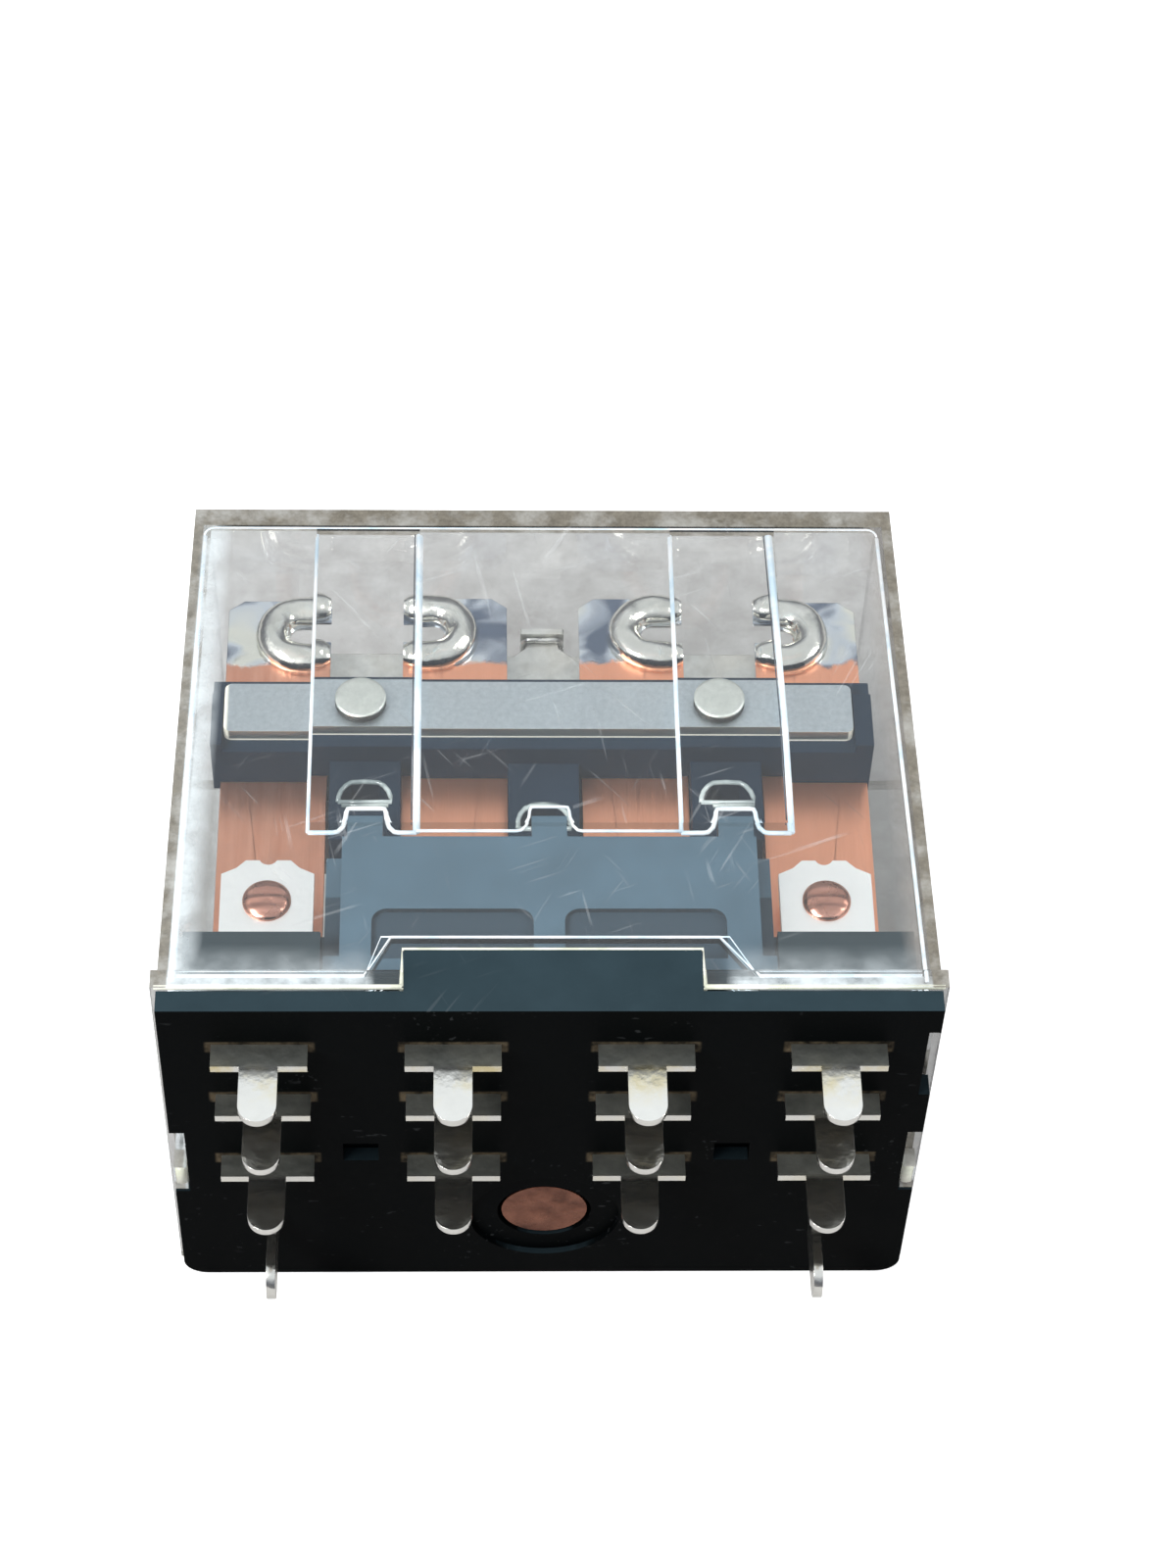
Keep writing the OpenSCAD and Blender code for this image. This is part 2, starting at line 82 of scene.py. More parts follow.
class Tree:
    """A small builder for one material's node tree."""

    def __init__(self, name):
        self.mat = bpy.data.materials.new(name)
        self.mat.use_nodes = True
        self.nt = self.mat.node_tree
        self.nt.nodes.clear()
        self.out = self.nt.nodes.new("ShaderNodeOutputMaterial")

    def node(self, kind, **inputs):
        n = self.nt.nodes.new("ShaderNode" + kind)
        for key, value in inputs.items():
            self.put(n.inputs[key.replace("_", " ")], value)
        return n

    def put(self, socket, value):
        if hasattr(value, "is_linked"):
            self.nt.links.new(value, socket)
        else:
            socket.default_value = value

    def coords(self, scale=(1, 1, 1), turn=0.0):
        point = self.node("TexCoord").outputs["Object"]
        if turn:
            spin = self.node("Mapping", Vector=point)
            spin.inputs["Rotation"].default_value = (0, 0, turn)
            point = spin.outputs[0]
        m = self.node("Mapping", Vector=point)
        m.inputs["Scale"].default_value = scale
        return m.outputs[0]

    def facing(self):
        return self.node("SeparateXYZ", Vector=self.node("NewGeometry").outputs["Normal"]).outputs

    def upward(self):
        """1 on faces that look towards the contact side."""
        return self.span(self.facing()[2], 0, 1, 0.75, 0.9)

    def times(self, *factors):
        total = factors[0]
        for f in factors[1:]:
            total = self.math("MULTIPLY", total, f)
        return total

    def scratches(self, turns=(0.6, -0.5, 1.2), scale=2600.0):
        """Sparse fine scratches in a few directions."""
        total = None
        for k, turn in enumerate(turns):
            line = self.node("TexNoise", Vector=self.coords((1, 0.035, 1), turn), Scale=scale, Detail=2.0)
            patch = self.node("TexNoise", Vector=self.coords((1, 1, 1), turn + k), Scale=150.0, Detail=2.0)
            mark = self.times(self.span(line.outputs["Fac"], 0, 1, 0.68, 0.72),
                              self.span(patch.outputs["Fac"], 0, 1, 0.52, 0.6))
            total = mark if total is None else self.math("MAXIMUM", total, mark)
        return total

    def axes(self):
        return self.node("SeparateXYZ", Vector=self.node("TexCoord").outputs["Object"]).outputs

    def math(self, op, a, b=0.0):
        m = self.nt.nodes.new("ShaderNodeMath")
        m.operation = op
        self.put(m.inputs[0], a)
        self.put(m.inputs[1], b)
        return m.outputs[0]

    def near(self, value, centre, half, soft):
        """1 where value is within half of centre, fading out over soft."""
        gap = self.math("ABSOLUTE", self.math("SUBTRACT", value, centre))
        return self.span(gap, 1, 0, half, half + soft)

    def noise(self, scale, detail=4.0, rough=0.55, stretch=(1, 1, 1), distortion=0.0):
        n = self.node("TexNoise", Vector=self.coords(stretch), Scale=scale, Detail=detail,
                      Roughness=rough, Distortion=distortion)
        return n.outputs["Fac"]

    def ramp(self, fac, stops):
        r = self.node("ValToRGB", Fac=fac)
        e = r.color_ramp.elements
        while len(e) < len(stops):
            e.new(0.5)
        for element, (pos, colour) in zip(e, stops):
            element.position = pos
            element.color = (*colour, 1) if len(colour) == 3 else colour
        return r.outputs["Color"]

    def span(self, fac, low, high, from_low=0.0, from_high=1.0):
        m = self.node("MapRange", Value=fac)
        m.inputs["From Min"].default_value = from_low
        m.inputs["From Max"].default_value = from_high
        m.inputs["To Min"].default_value = low
        m.inputs["To Max"].default_value = high
        return m.outputs[0]

    def mix(self, fac, a, b, mode="MIX"):
        m = self.nt.nodes.new("ShaderNodeMix")
        m.data_type = "RGBA"
        m.blend_type = mode
        self.put(m.inputs[0], fac)
        for index, value in ((6, a), (7, b)):
            self.put(m.inputs[index], (*value, 1) if isinstance(value, tuple) and len(value) == 3 else value)
        return m.outputs[2]

    def bump(self, height, strength, distance):
        b = self.node("Bump", Height=height, Strength=strength)
        b.inputs["Distance"].default_value = distance
        return b.outputs[0]

    def blend(self, fac, a, b):
        m = self.node("MixShader", Fac=fac)
        self.nt.links.new(a.outputs[0], m.inputs[1])
        self.nt.links.new(b.outputs[0], m.inputs[2])
        return m

    def surface(self, shader):
        self.nt.links.new(shader.outputs[0], self.out.inputs["Surface"])
        return self.mat


def plastic(name, colour, rough=0.5, lift=1.6, gloss=0.2, dust=0.12, painted_sky_tint=None, root_stain=False, painted_recess_shade=None):
    """Satin moulding: cloudy tone, fine grain and a little light dust. High faces that look towards the contact
    side can take a paler painted sky reflection, and recess floors a darker painted shade.
    """
    t = Tree(name)
    grain = t.noise(9000, detail=3)
    cloud = t.noise(260, detail=5)
    specks = t.noise(3200, detail=5, rough=0.75)
    base = t.ramp(cloud, [(0.3, colour), (0.75, tuple(c * lift for c in colour))])
    if painted_sky_tint:
        # Painted sky reflection: high faces that look towards the contact side turn paler.
        top = t.times(t.upward(), t.span(t.axes()[2], 0.35, 1, 7 * MM, 8 * MM))
        base = t.mix(top, base, t.ramp(cloud, [(0.3, painted_sky_tint), (0.75, tuple(c * 1.3 for c in painted_sky_tint))]))
    if painted_recess_shade:
        # Painted shade: the floor of the barrier's recesses takes a darker colour.
        floor = t.math("MULTIPLY", t.span(t.axes()[2], 1, 0, 11.08 * MM, 11.12 * MM),
                       t.span(t.axes()[1], 1, 0, 9 * MM, 9.1 * MM))
        base = t.mix(floor, base, painted_recess_shade)
    base = t.mix(t.span(specks, 0, dust, 0.66, 0.74), base, (0.3, 0.32, 0.34))
    base = t.mix(t.math("MULTIPLY", t.scratches(), dust), base, (0.4, 0.42, 0.44))
    if root_stain:
        x, y, z = t.axes()[0], t.axes()[1], t.axes()[2]
        fold = t.math("MODULO", t.math("ADD", x, 20 * MM), 10 * MM)
        across = t.near(fold, 5 * MM, 2.75 * MM, 0.15 * MM)
        rows = [t.near(z, row * MM, 0.42 * MM, 0.12 * MM) for row in (10.05, 5.25, -0.9)]
        row = t.math("MAXIMUM", t.math("MAXIMUM", rows[0], rows[1]), rows[2])
        mask = t.math("MULTIPLY", t.math("MULTIPLY", across, row), t.span(t.noise(1400), 0.1, 0.9, 0.35, 0.6))
        mask = t.math("MULTIPLY", mask, t.near(y, 0, 0.3 * MM, 0.1 * MM))
        base = t.mix(mask, base, (0.09, 0.07, 0.045))
    p = t.node("BsdfPrincipled", Base_Color=base, Roughness=t.span(cloud, rough - 0.08, rough + 0.1),
               Normal=t.bump(grain, 0.25, 0.00002))
    p.inputs["Specular IOR Level"].default_value = gloss
    return t.surface(p)


def metal(name, low, high, rough=0.3, stretch=(1, 1, 1), scale=1500, bump=0.2, depth=0.00002, stain=None,
          stain_amount=0.7):
    """Metal with a drawn or mottled grain. A stain lies in clouds."""
    t = Tree(name)
    streak = t.noise(scale, detail=5, stretch=stretch)
    cloud = t.noise(420, detail=5, rough=0.65)
    base = t.ramp(streak, [(0.3, low), (0.7, high)])
    if stain:
        base = t.mix(t.span(cloud, 0, stain_amount, 0.45, 0.62), base, stain)
    wear = t.span(cloud, rough - 0.08, rough + 0.14, 0.3, 0.7)
    p = t.node("BsdfPrincipled", Base_Color=base, Roughness=wear, Normal=t.bump(streak, bump, depth))
    p.inputs["Metallic"].default_value = 1.0
    return t.surface(p)


def clear_plastic():
    """The cover: clear and glossy. Where a view runs down inside a wall, a greyer, grainy, mostly opaque strip is
    painted in, and its corners carry painted sheen.
    """
    t = Tree("clear_polycarbonate")
    x, y, z = t.axes()[0], t.axes()[1], t.axes()[2]
    face = t.facing()
    up = t.span(face[2], 0, 1, 0.6, 0.7)
    scratch = t.noise(700, detail=4, stretch=(1, 0.06, 1), distortion=0.4)
    haze = t.noise(180, detail=5)
    grain = t.noise(2600, detail=5, rough=0.7)
    g = t.node("BsdfPrincipled", Base_Color=(0.93, 0.935, 0.935, 1),
               Roughness=t.span(haze, 0.0, 0.04, 0.45, 0.8), Normal=t.bump(scratch, 0.02, 0.00001))
    g.inputs["Transmission Weight"].default_value = 1.0
    g.inputs["IOR"].default_value = 1.58
    g.inputs["Specular IOR Level"].default_value = 0.14
    mark = t.node("BsdfPrincipled", Base_Color=(0.8, 0.82, 0.83, 1), Roughness=0.3)
    g = t.blend(t.times(t.scratches((0.5, -0.7, 1.2, -0.2)), up, 0.12), g, mark)
    # Painted sheen in the corners: bluish on the left, pale just above the rim; a painted brownish tint on the
    # right stands in for the surroundings seen through the wall.
    lean = t.math("MULTIPLY", t.math("SUBTRACT", y, 1.25 * MM), 0.55 / 33.05)
    cloudy = t.span(t.noise(600, detail=5), 0.3, 1, 0.35, 0.6)
    pale = t.node("BsdfPrincipled", Base_Color=(0.72, 0.78, 0.8, 1), Roughness=0.3)
    tan = t.node("BsdfPrincipled", Base_Color=(0.3, 0.275, 0.25, 1), Roughness=0.35)
    left = t.span(t.math("SUBTRACT", x, lean), 0.6, 0, -19.3 * MM, -18.0 * MM)
    low = t.math("MAXIMUM", t.near(y, 1.6 * MM, 0.3 * MM, 0.1 * MM), t.span(y, 0.35, 0, 2.2 * MM, 4.2 * MM))
    low = t.times(low, t.span(t.math("ABSOLUTE", x), 0, 0.8, 9 * MM, 10 * MM))
    g = t.blend(t.times(t.math("MAXIMUM", left, low), up, cloudy), g, pale)
    g = t.blend(t.times(t.span(t.math("ADD", x, lean), 0, 0.4, 18.3 * MM, 19.2 * MM), up, cloudy), g, tan)
    # A painted strip along the sides and the far end of the contact-side wall: a dark greyish-brown tone standing
    # in for the view refracted down inside the wall.
    edge = t.math("ADD", t.math("ABSOLUTE", x), lean)
    side = t.span(edge, 0, 1, 19.6 * MM, 19.7 * MM)
    end = t.span(y, 0, 1, 33.05 * MM, 33.15 * MM)
    strip = t.times(t.math("MAXIMUM", side, end), up)
    tone = t.mix(t.span(t.noise(300, detail=5, rough=0.7), 0, 1, 0.47, 0.66),
                 t.ramp(grain, [(0.3, (0.12, 0.105, 0.08)), (0.72, (0.25, 0.225, 0.18))]), (0.38, 0.37, 0.34))
    wall = t.node("BsdfPrincipled", Base_Color=tone, Roughness=0.35)
    body = t.blend(t.math("MULTIPLY", strip, 0.88), g, wall)
    # The steps of the thicker pad let the view through; their outlines are separate beads.
    lp = t.node("LightPath").outputs
    upright = t.span(t.math("ABSOLUTE", face[2]), 1, 0, 0.3, 0.4)
    outside = t.span(z, 0, 1, 11.1 * MM, 11.15 * MM)
    inboard = t.span(t.math("ABSOLUTE", x), 1, 0, 14 * MM, 14.1 * MM)
    step = t.times(upright, outside, inboard, t.span(y, 0, 1, 12 * MM, 12.1 * MM),
                   t.span(y, 1, 0, 33 * MM, 33.1 * MM))
    again = t.span(lp["Transparent Depth"], 0, 1, 0.4, 0.6)
    through = t.math("MAXIMUM", t.math("MAXIMUM", lp["Is Shadow Ray"], lp["Is Diffuse Ray"]),
                     t.math("MAXIMUM", step, again))
    clear = t.node("BsdfTransparent", Color=(0.93, 0.93, 0.92, 1))
    return t.surface(t.blend(through, body, clear))


def edge_plastic(name, low, high, painted_glow):
    """Beads of painted highlight along the clear cover's moulded corners, glowing by their emission; given dark
    colours and no glow they are painted shade.
    """
    t = Tree(name)
    cloud = t.noise(420, detail=4)
    colour = t.ramp(cloud, [(0.38, low), (0.56, high)])
    p = t.node("BsdfPrincipled", Base_Color=colour, Roughness=t.span(cloud, 0.12, 0.3), Emission_Color=colour)
    p.inputs["Specular IOR Level"].default_value = 0.8
    p.inputs["Emission Strength"].default_value = painted_glow
    lp = t.node("LightPath")
    clear = t.node("BsdfTransparent", Color=(0.95, 0.95, 0.95, 1))
    through = t.math("MAXIMUM", lp.outputs["Is Shadow Ray"], lp.outputs["Is Diffuse Ray"])
    return t.surface(t.blend(through, p, clear))


def sprung_copper():
    """Rolled copper strip, wetted with solder round the slot at its top; the solder's pools carry painted
    reflections, dark bluish to yellowish white.
    """
    t = Tree("copper_spring")
    streak = t.noise(1500, detail=5, stretch=(1, 0.06, 1))
    cloud = t.noise(420, detail=5, rough=0.65)
    base = t.ramp(streak, [(0.3, (0.72, 0.31, 0.19)), (0.7, (0.85, 0.42, 0.28))])
    base = t.mix(t.span(cloud, 0, 0.3, 0.45, 0.62), base, (0.6, 0.3, 0.2))
    base = t.mix(t.span(t.axes()[0], 0, 0.75, -12 * MM, -8 * MM), base, (1.0, 0.44, 0.26))
    wet = t.math("ADD", t.axes()[1], t.math("MULTIPLY", cloud, 2.4 * MM))
    wet = t.span(wet, 0, 1, 28.7 * MM, 29.0 * MM)
    pools = t.noise(330, detail=2, rough=0.4, distortion=0.6)
    # Painted reflections: the solder pools run from dark bluish to bright yellowish white.
    tinned = t.ramp(pools, [(0.38, (0.16, 0.2, 0.28)), (0.5, (0.75, 0.8, 0.86)), (0.62, (0.95, 0.94, 0.84))])
    base = t.mix(wet, base, tinned)
    p = t.node("BsdfPrincipled", Base_Color=base, Roughness=t.span(wet, 0.36, 0.16),
               Normal=t.bump(t.mix(wet, streak, pools), t.span(wet, 0.3, 1.0), 0.00025))
    p.inputs["Metallic"].default_value = 1.0
    return t.surface(p)


def clamp_steel():
    """Grainy nickel plate. Its front faces are painted paler, and its rounded edges and two more lines carry
    painted cream highlights that glow a little.
    """
    t = Tree("clamp_steel")
    grain = t.noise(3200, detail=5, rough=0.7)
    cloud = t.noise(300, detail=4)
    tilt = t.facing()[1]
    base = t.ramp(grain, [(0.3, (0.46, 0.52, 0.55)), (0.7, (0.6, 0.66, 0.69))])
    # Painted light: faces that look towards -Y are made paler.
    front = t.span(tilt, 1, 0, -0.98, -0.93)
    base = t.mix(front, base, (0.66, 0.66, 0.58))
    # Painted highlight: glowing cream lines on the rounded edges, along the front below 9.6 mm and at the left
    # end.
    line = t.times(t.span(tilt, 0, 1, -0.98, -0.93), t.span(tilt, 1, 0, -0.2, -0.05))
    line = t.math("MAXIMUM", line, t.times(front, t.span(t.axes()[2], 1, 0, 9.6 * MM, 9.65 * MM)))
    line = t.math("MAXIMUM", line, t.span(t.axes()[0], 1, 0, -17.55 * MM, -17.4 * MM))
    base = t.mix(line, base, (0.96, 0.93, 0.78))
    p = t.node("BsdfPrincipled", Base_Color=base, Roughness=t.span(cloud, 0.34, 0.5),
               Metallic=t.span(line, 1, 0.2), Normal=t.bump(grain, 0.35, 0.00002),
               Emission_Strength=t.math("MULTIPLY", line, 0.3))
    p.inputs["Emission Color"].default_value = (1, 0.98, 0.86, 1)
    return t.surface(p)


def rivet_steel():
    """Dull nickel head; its rolled side is near black, painted shade."""
    t = Tree("rivet_steel")
    grain = t.noise(2600, detail=5, rough=0.7)
    base = t.ramp(grain, [(0.3, (0.62, 0.65, 0.61)), (0.7, (0.76, 0.79, 0.74))])
    # Painted shade: below 10.8 mm the rolled side turns near black.
    base = t.mix(t.span(t.axes()[2], 1, 0, 10.78 * MM, 10.86 * MM), base, (0.06, 0.06, 0.055))
    p = t.node("BsdfPrincipled", Base_Color=base, Roughness=t.span(grain, 0.35, 0.55), Metallic=1.0,
               Normal=t.bump(grain, 0.3, 0.00003))
    return t.surface(p)


def blade_tin():
    """Dipped tin: hammered blades with yellow flux below the shoulder. The plates inside the cover are painted
    whiter and glow a little as a painted highlight, and the front row below its shoulder glows as a painted
    highlight too.
    """
    t = Tree("tinned_blade")
    cloud = t.noise(420, detail=5, rough=0.65)
    dents = t.noise(1100, detail=3, rough=0.5)
    y, z = t.axes()[1], t.axes()[2]
    front = t.span(z, 0, 1, 8.0 * MM, 8.1 * MM)
    plate = t.math("MULTIPLY", front, t.span(y, 0, 1, 1 * MM, 1.2 * MM))
    base = t.ramp(cloud, [(0.3, (0.8, 0.79, 0.75)), (0.7, (0.93, 0.92, 0.88))])
    # Painted highlight: the plates inside the cover are mixed to near white.
    base = t.mix(plate, base, (0.97, 0.98, 0.96))
    flux = t.math("MULTIPLY", t.near(y, -1.9 * MM, 0.6 * MM, 1.5 * MM), t.span(cloud, 0, 0.8, 0.42, 0.6))
    base = t.mix(t.math("MULTIPLY", flux, t.span(front, 0.25, 1)), base, (0.72, 0.6, 0.28))
    dull = t.times(t.span(y, 0, 1, -1.6 * MM, -1.2 * MM), t.span(y, 1, 0, 0.2 * MM, 0.6 * MM), t.upward())
    # Faces that look towards the contact side near the shoulders are darker and rougher.
    darker_shoulder_tone = t.ramp(cloud, [(0.35, (0.17, 0.18, 0.16)), (0.65, (0.3, 0.31, 0.28))])
    base = t.mix(t.math("MULTIPLY", dull, 0.9), base, darker_shoulder_tone)
    rough = t.math("MAXIMUM", t.span(dull, 0.2, 0.42), t.span(plate, 0, 0.4))
    # Painted highlight: the front row's faces that look towards the contact side, below the shoulder, glow a
    # little.
    painted_glow = t.times(front, t.upward(), t.span(y, 1, 0, -1.7 * MM, -1.5 * MM), 0.2)
    # The emission paints the highlights: the plates inside the cover and the front row below its shoulder.
    p = t.node("BsdfPrincipled", Base_Color=base, Roughness=rough, Metallic=1.0,
               Normal=t.bump(dents, 0.6, 0.00007),
               Emission_Strength=t.math("MAXIMUM", t.math("MULTIPLY", plate, 0.1), painted_glow))
    p.inputs["Emission Color"].default_value = (0.96, 1, 0.97, 1)
    return t.surface(p)


def tape_film():
    """Glossy amber tape round the coil, streaked along its seam."""
    t = Tree("coil_tape")
    seam = t.noise(900, detail=4, stretch=(0.2, 1, 0.2))
    amber = t.ramp(seam, [(0.3, (0.42, 0.3, 0.07)), (0.7, (0.62, 0.5, 0.18))])
    p = t.node("BsdfPrincipled", Base_Color=amber, Roughness=t.span(seam, 0.18, 0.35), Normal=t.bump(seam, 0.3, 0.00004))
    return t.surface(p)


BLACK = plastic("black_moulding", (0.0009, 0.0013, 0.0015), rough=0.5, gloss=0.02, dust=0.05,
                painted_sky_tint=(0.022, 0.037, 0.045), root_stain=True)
BARRIER = plastic("barrier_moulding", (0.02, 0.034, 0.046), rough=0.45, gloss=0.15, dust=0.3,
                  painted_sky_tint=(0.07, 0.125, 0.17), painted_recess_shade=(0.032, 0.058, 0.082))
CARD = plastic("card_moulding", (0.003, 0.012, 0.028), rough=0.4, gloss=0.02, dust=0.1,
               painted_sky_tint=(0.008, 0.02, 0.038))
BOBBIN = plastic("bobbin_moulding", (0.5, 0.48, 0.4), lift=1.15)
TAPE = tape_film()
TINNED = blade_tin()
COPPER = sprung_copper()
NICKEL = metal("nickel_iron", (0.62, 0.62, 0.59), (0.78, 0.78, 0.74), rough=0.42, stain=(0.45, 0.43, 0.38),
               stain_amount=0.4)
CLAMP = clamp_steel()
RIVET = rivet_steel()
CORE = metal("copper_plated_iron", (0.1, 0.035, 0.022), (0.4, 0.17, 0.11), rough=0.26, scale=500, bump=0.8,
             depth=0.00008)
WIRE = metal("enamelled_wire", (0.3, 0.1, 0.04), (0.5, 0.2, 0.08), rough=0.3)
TAIL = metal("contact_rivet", (0.42, 0.19, 0.13), (0.68, 0.36, 0.28), rough=0.24, stretch=(0.2, 1, 1))
SILVER = metal("contact_silver", (0.8, 0.79, 0.76), (0.92, 0.91, 0.88), rough=0.3)
SOLDER = metal("solder", (0.8, 0.79, 0.72), (0.97, 0.96, 0.9), rough=0.12, scale=700, bump=0.7, depth=0.0001)
SPRING = metal("spring_wire", (0.55, 0.55, 0.53), (0.75, 0.75, 0.72), rough=0.25)
BRAID = metal("copper_braid", (0.55, 0.3, 0.18), (0.8, 0.5, 0.34), rough=0.4)
CLEAR = clear_plastic()
# Painted highlights: glowing beads on the cover's corners and rim and on the card's arches; the last one is dark
# painted shade.
EDGE = edge_plastic("clear_edge_highlight", (0.6, 0.76, 0.88), (0.93, 0.97, 1.0), 0.32)
RIM = edge_plastic("clear_rim_highlight", (0.62, 0.64, 0.5), (0.9, 0.9, 0.78), 0.22)
ARCH = edge_plastic("arch_rim_highlight", (0.2, 0.25, 0.26), (0.6, 0.68, 0.68), 0.12)
SHADE = edge_plastic("clear_shade", (0.05, 0.06, 0.08), (0.12, 0.14, 0.17), 0.0)

# ---- Mesh helpers ---------------------------------------------------------


def finish_mesh(name, verts, faces, mat, body, nodes=(), smooth=True):
    """A piece in millimetres, riding on a body and standing for CAD nodes."""
    mesh = bpy.data.meshes.new(name)
    mesh.from_pydata([(x * MM, y * MM, z * MM) for x, y, z in verts], [], faces)
    mesh.materials.append(mat)
    mesh.validate()
    for poly in mesh.polygons:
        poly.use_smooth = smooth
    o = bpy.data.objects.new(name, mesh)
    bpy.context.scene.collection.objects.link(o)
    if nodes:
        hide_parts(*nodes)
    if body:
        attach(o, body)
    return o


def frames_along(points):
    """Side and up directions at every point of a path, turning as little as possible."""
    pts = [Vector(p) for p in points]
    tangents = []
    for i in range(len(pts)):
        a, b = pts[max(i - 1, 0)], pts[min(i + 1, len(pts) - 1)]
        tangents.append((b - a).normalized())
    side = tangents[0].orthogonal().normalized()
    out = []
    for p, t in zip(pts, tangents):
        side = (side - t * side.dot(t)).normalized()
        out.append((p, side, t.cross(side)))
    return out


def sweep(points, section):
    """Vertices and faces of a section swept along a path. section(i, k) gives side k's (radius, turn)."""
    verts, faces = [], []
    rings = frames_along(points)
    n = section.sides
    for i, (p, side, up) in enumerate(rings):
        for k in range(n):
            r, turn = section(i, k)
            a = math.tau * k / n + turn
            verts.append(p + r * (math.cos(a) * side + math.sin(a) * up))
    for i in range(len(rings) - 1):
        for k in range(n):
            a, b = i * n + k, i * n + (k + 1) % n
            faces.append((a, b, b + n, a + n))
    faces.append(tuple(range(n))[::-1])
    faces.append(tuple((len(rings) - 1) * n + k for k in range(n)))
    return verts, faces


def round_section(radius, sides=8):
    def section(i, k):
        return radius, 0.0
    section.sides = sides
    return section


def strand_section(radius, lobes=9, twist=0.35):
    """A lobed section that turns along the path, as stranded wire does."""
    def section(i, k):
        return radius * (0.86 + 0.14 * (1 if k % 2 else 0)), twist * i
    section.sides = lobes * 2
    return section


def join(parts):
    verts, faces = [], []
    for v, f in parts:
        base = len(verts)
        verts.extend(v)
        faces.extend(tuple(i + base for i in face) for face in f)
    return verts, faces


def revolve(profile, place, sides=40):
    """A profile of (radius, height) turned about an axis. place(r, a, h) gives the point."""
    verts = [place(r, math.tau * k / sides, h) for r, h in profile for k in range(sides)]
    faces = []
    for i in range(len(profile) - 1):
        for k in range(sides):
            a, b = i * sides + k, i * sides + (k + 1) % sides
            faces.append((a, b, b + sides, a + sides))
    faces.append(tuple(range(sides))[::-1])
    faces.append(tuple((len(profile) - 1) * sides + k for k in range(sides)))
    return verts, faces


def about_z(cx, cy):
    return lambda r, a, h: (cx + r * math.cos(a), cy + r * math.sin(a), h)


def about_y(cx, cz):
    return lambda r, a, h: (cx + r * math.sin(a), h, cz + r * math.cos(a))


def smooth_path(points, steps=6):
    """A Catmull-Rom curve through the points."""
    pts = [Vector(p) for p in points]
    pts = [pts[0] * 2 - pts[1]] + pts + [pts[-1] * 2 - pts[-2]]
    out = []
    for i in range(1, len(pts) - 2):
        a, b, c, d = pts[i - 1:i + 3]
        for s in range(steps):
            t = s / steps
            out.append(0.5 * (2 * b + (c - a) * t + (2 * a - 5 * b + 4 * c - d) * t * t
                              + (3 * b - a - 3 * c + d) * t * t * t))
    out.append(pts[-2])
    return out


def dress(name, mat, bevel=0.0, segments=2):
    """Gives a CAD node one material, and softens its corners by bevel millimetres."""
    o = NODES[name]
    o.data.materials.clear()
    o.data.materials.append(mat)
    if bevel:
        w = o.modifiers.new("weld", "WELD")
        w.merge_threshold = 0.000001
        b = o.modifiers.new("bevel", "BEVEL")
        b.width = bevel * MM
        b.segments = segments
        b.limit_method = "ANGLE"
        b.angle_limit = math.radians(35)
        b.harden_normals = True
    return o


# ---- CAD nodes that keep their own mesh --------------------------------------

for name in NODES:
    if name.startswith(("nc_terminal", "no_terminal", "com_terminal", "coil_terminal")):
        dress(name, TINNED, 0.17, 3)
    elif name.startswith("contact_spring"):
        dress(name, COPPER, 0.04)
for name, mat, bevel in (
    ("base", BLACK, 0.12), ("cover", CLEAR, 0), ("contact_barrier", BARRIER, 0.12),
    ("armature_card", CARD, 0.15), ("coil_bobbin", BOBBIN, 0.1), ("coil_tape", TAPE, 0.05),
    ("yoke", NICKEL, 0.1), ("pole_plate", NICKEL, 0.1), ("armature", NICKEL, 0.1),
    ("core", CORE, 0.25), ("clamp_plate", CLAMP, 0.22),
):
    dress(name, mat, bevel)

# ---- Pieces with more detail than the CAD ------------------------------------


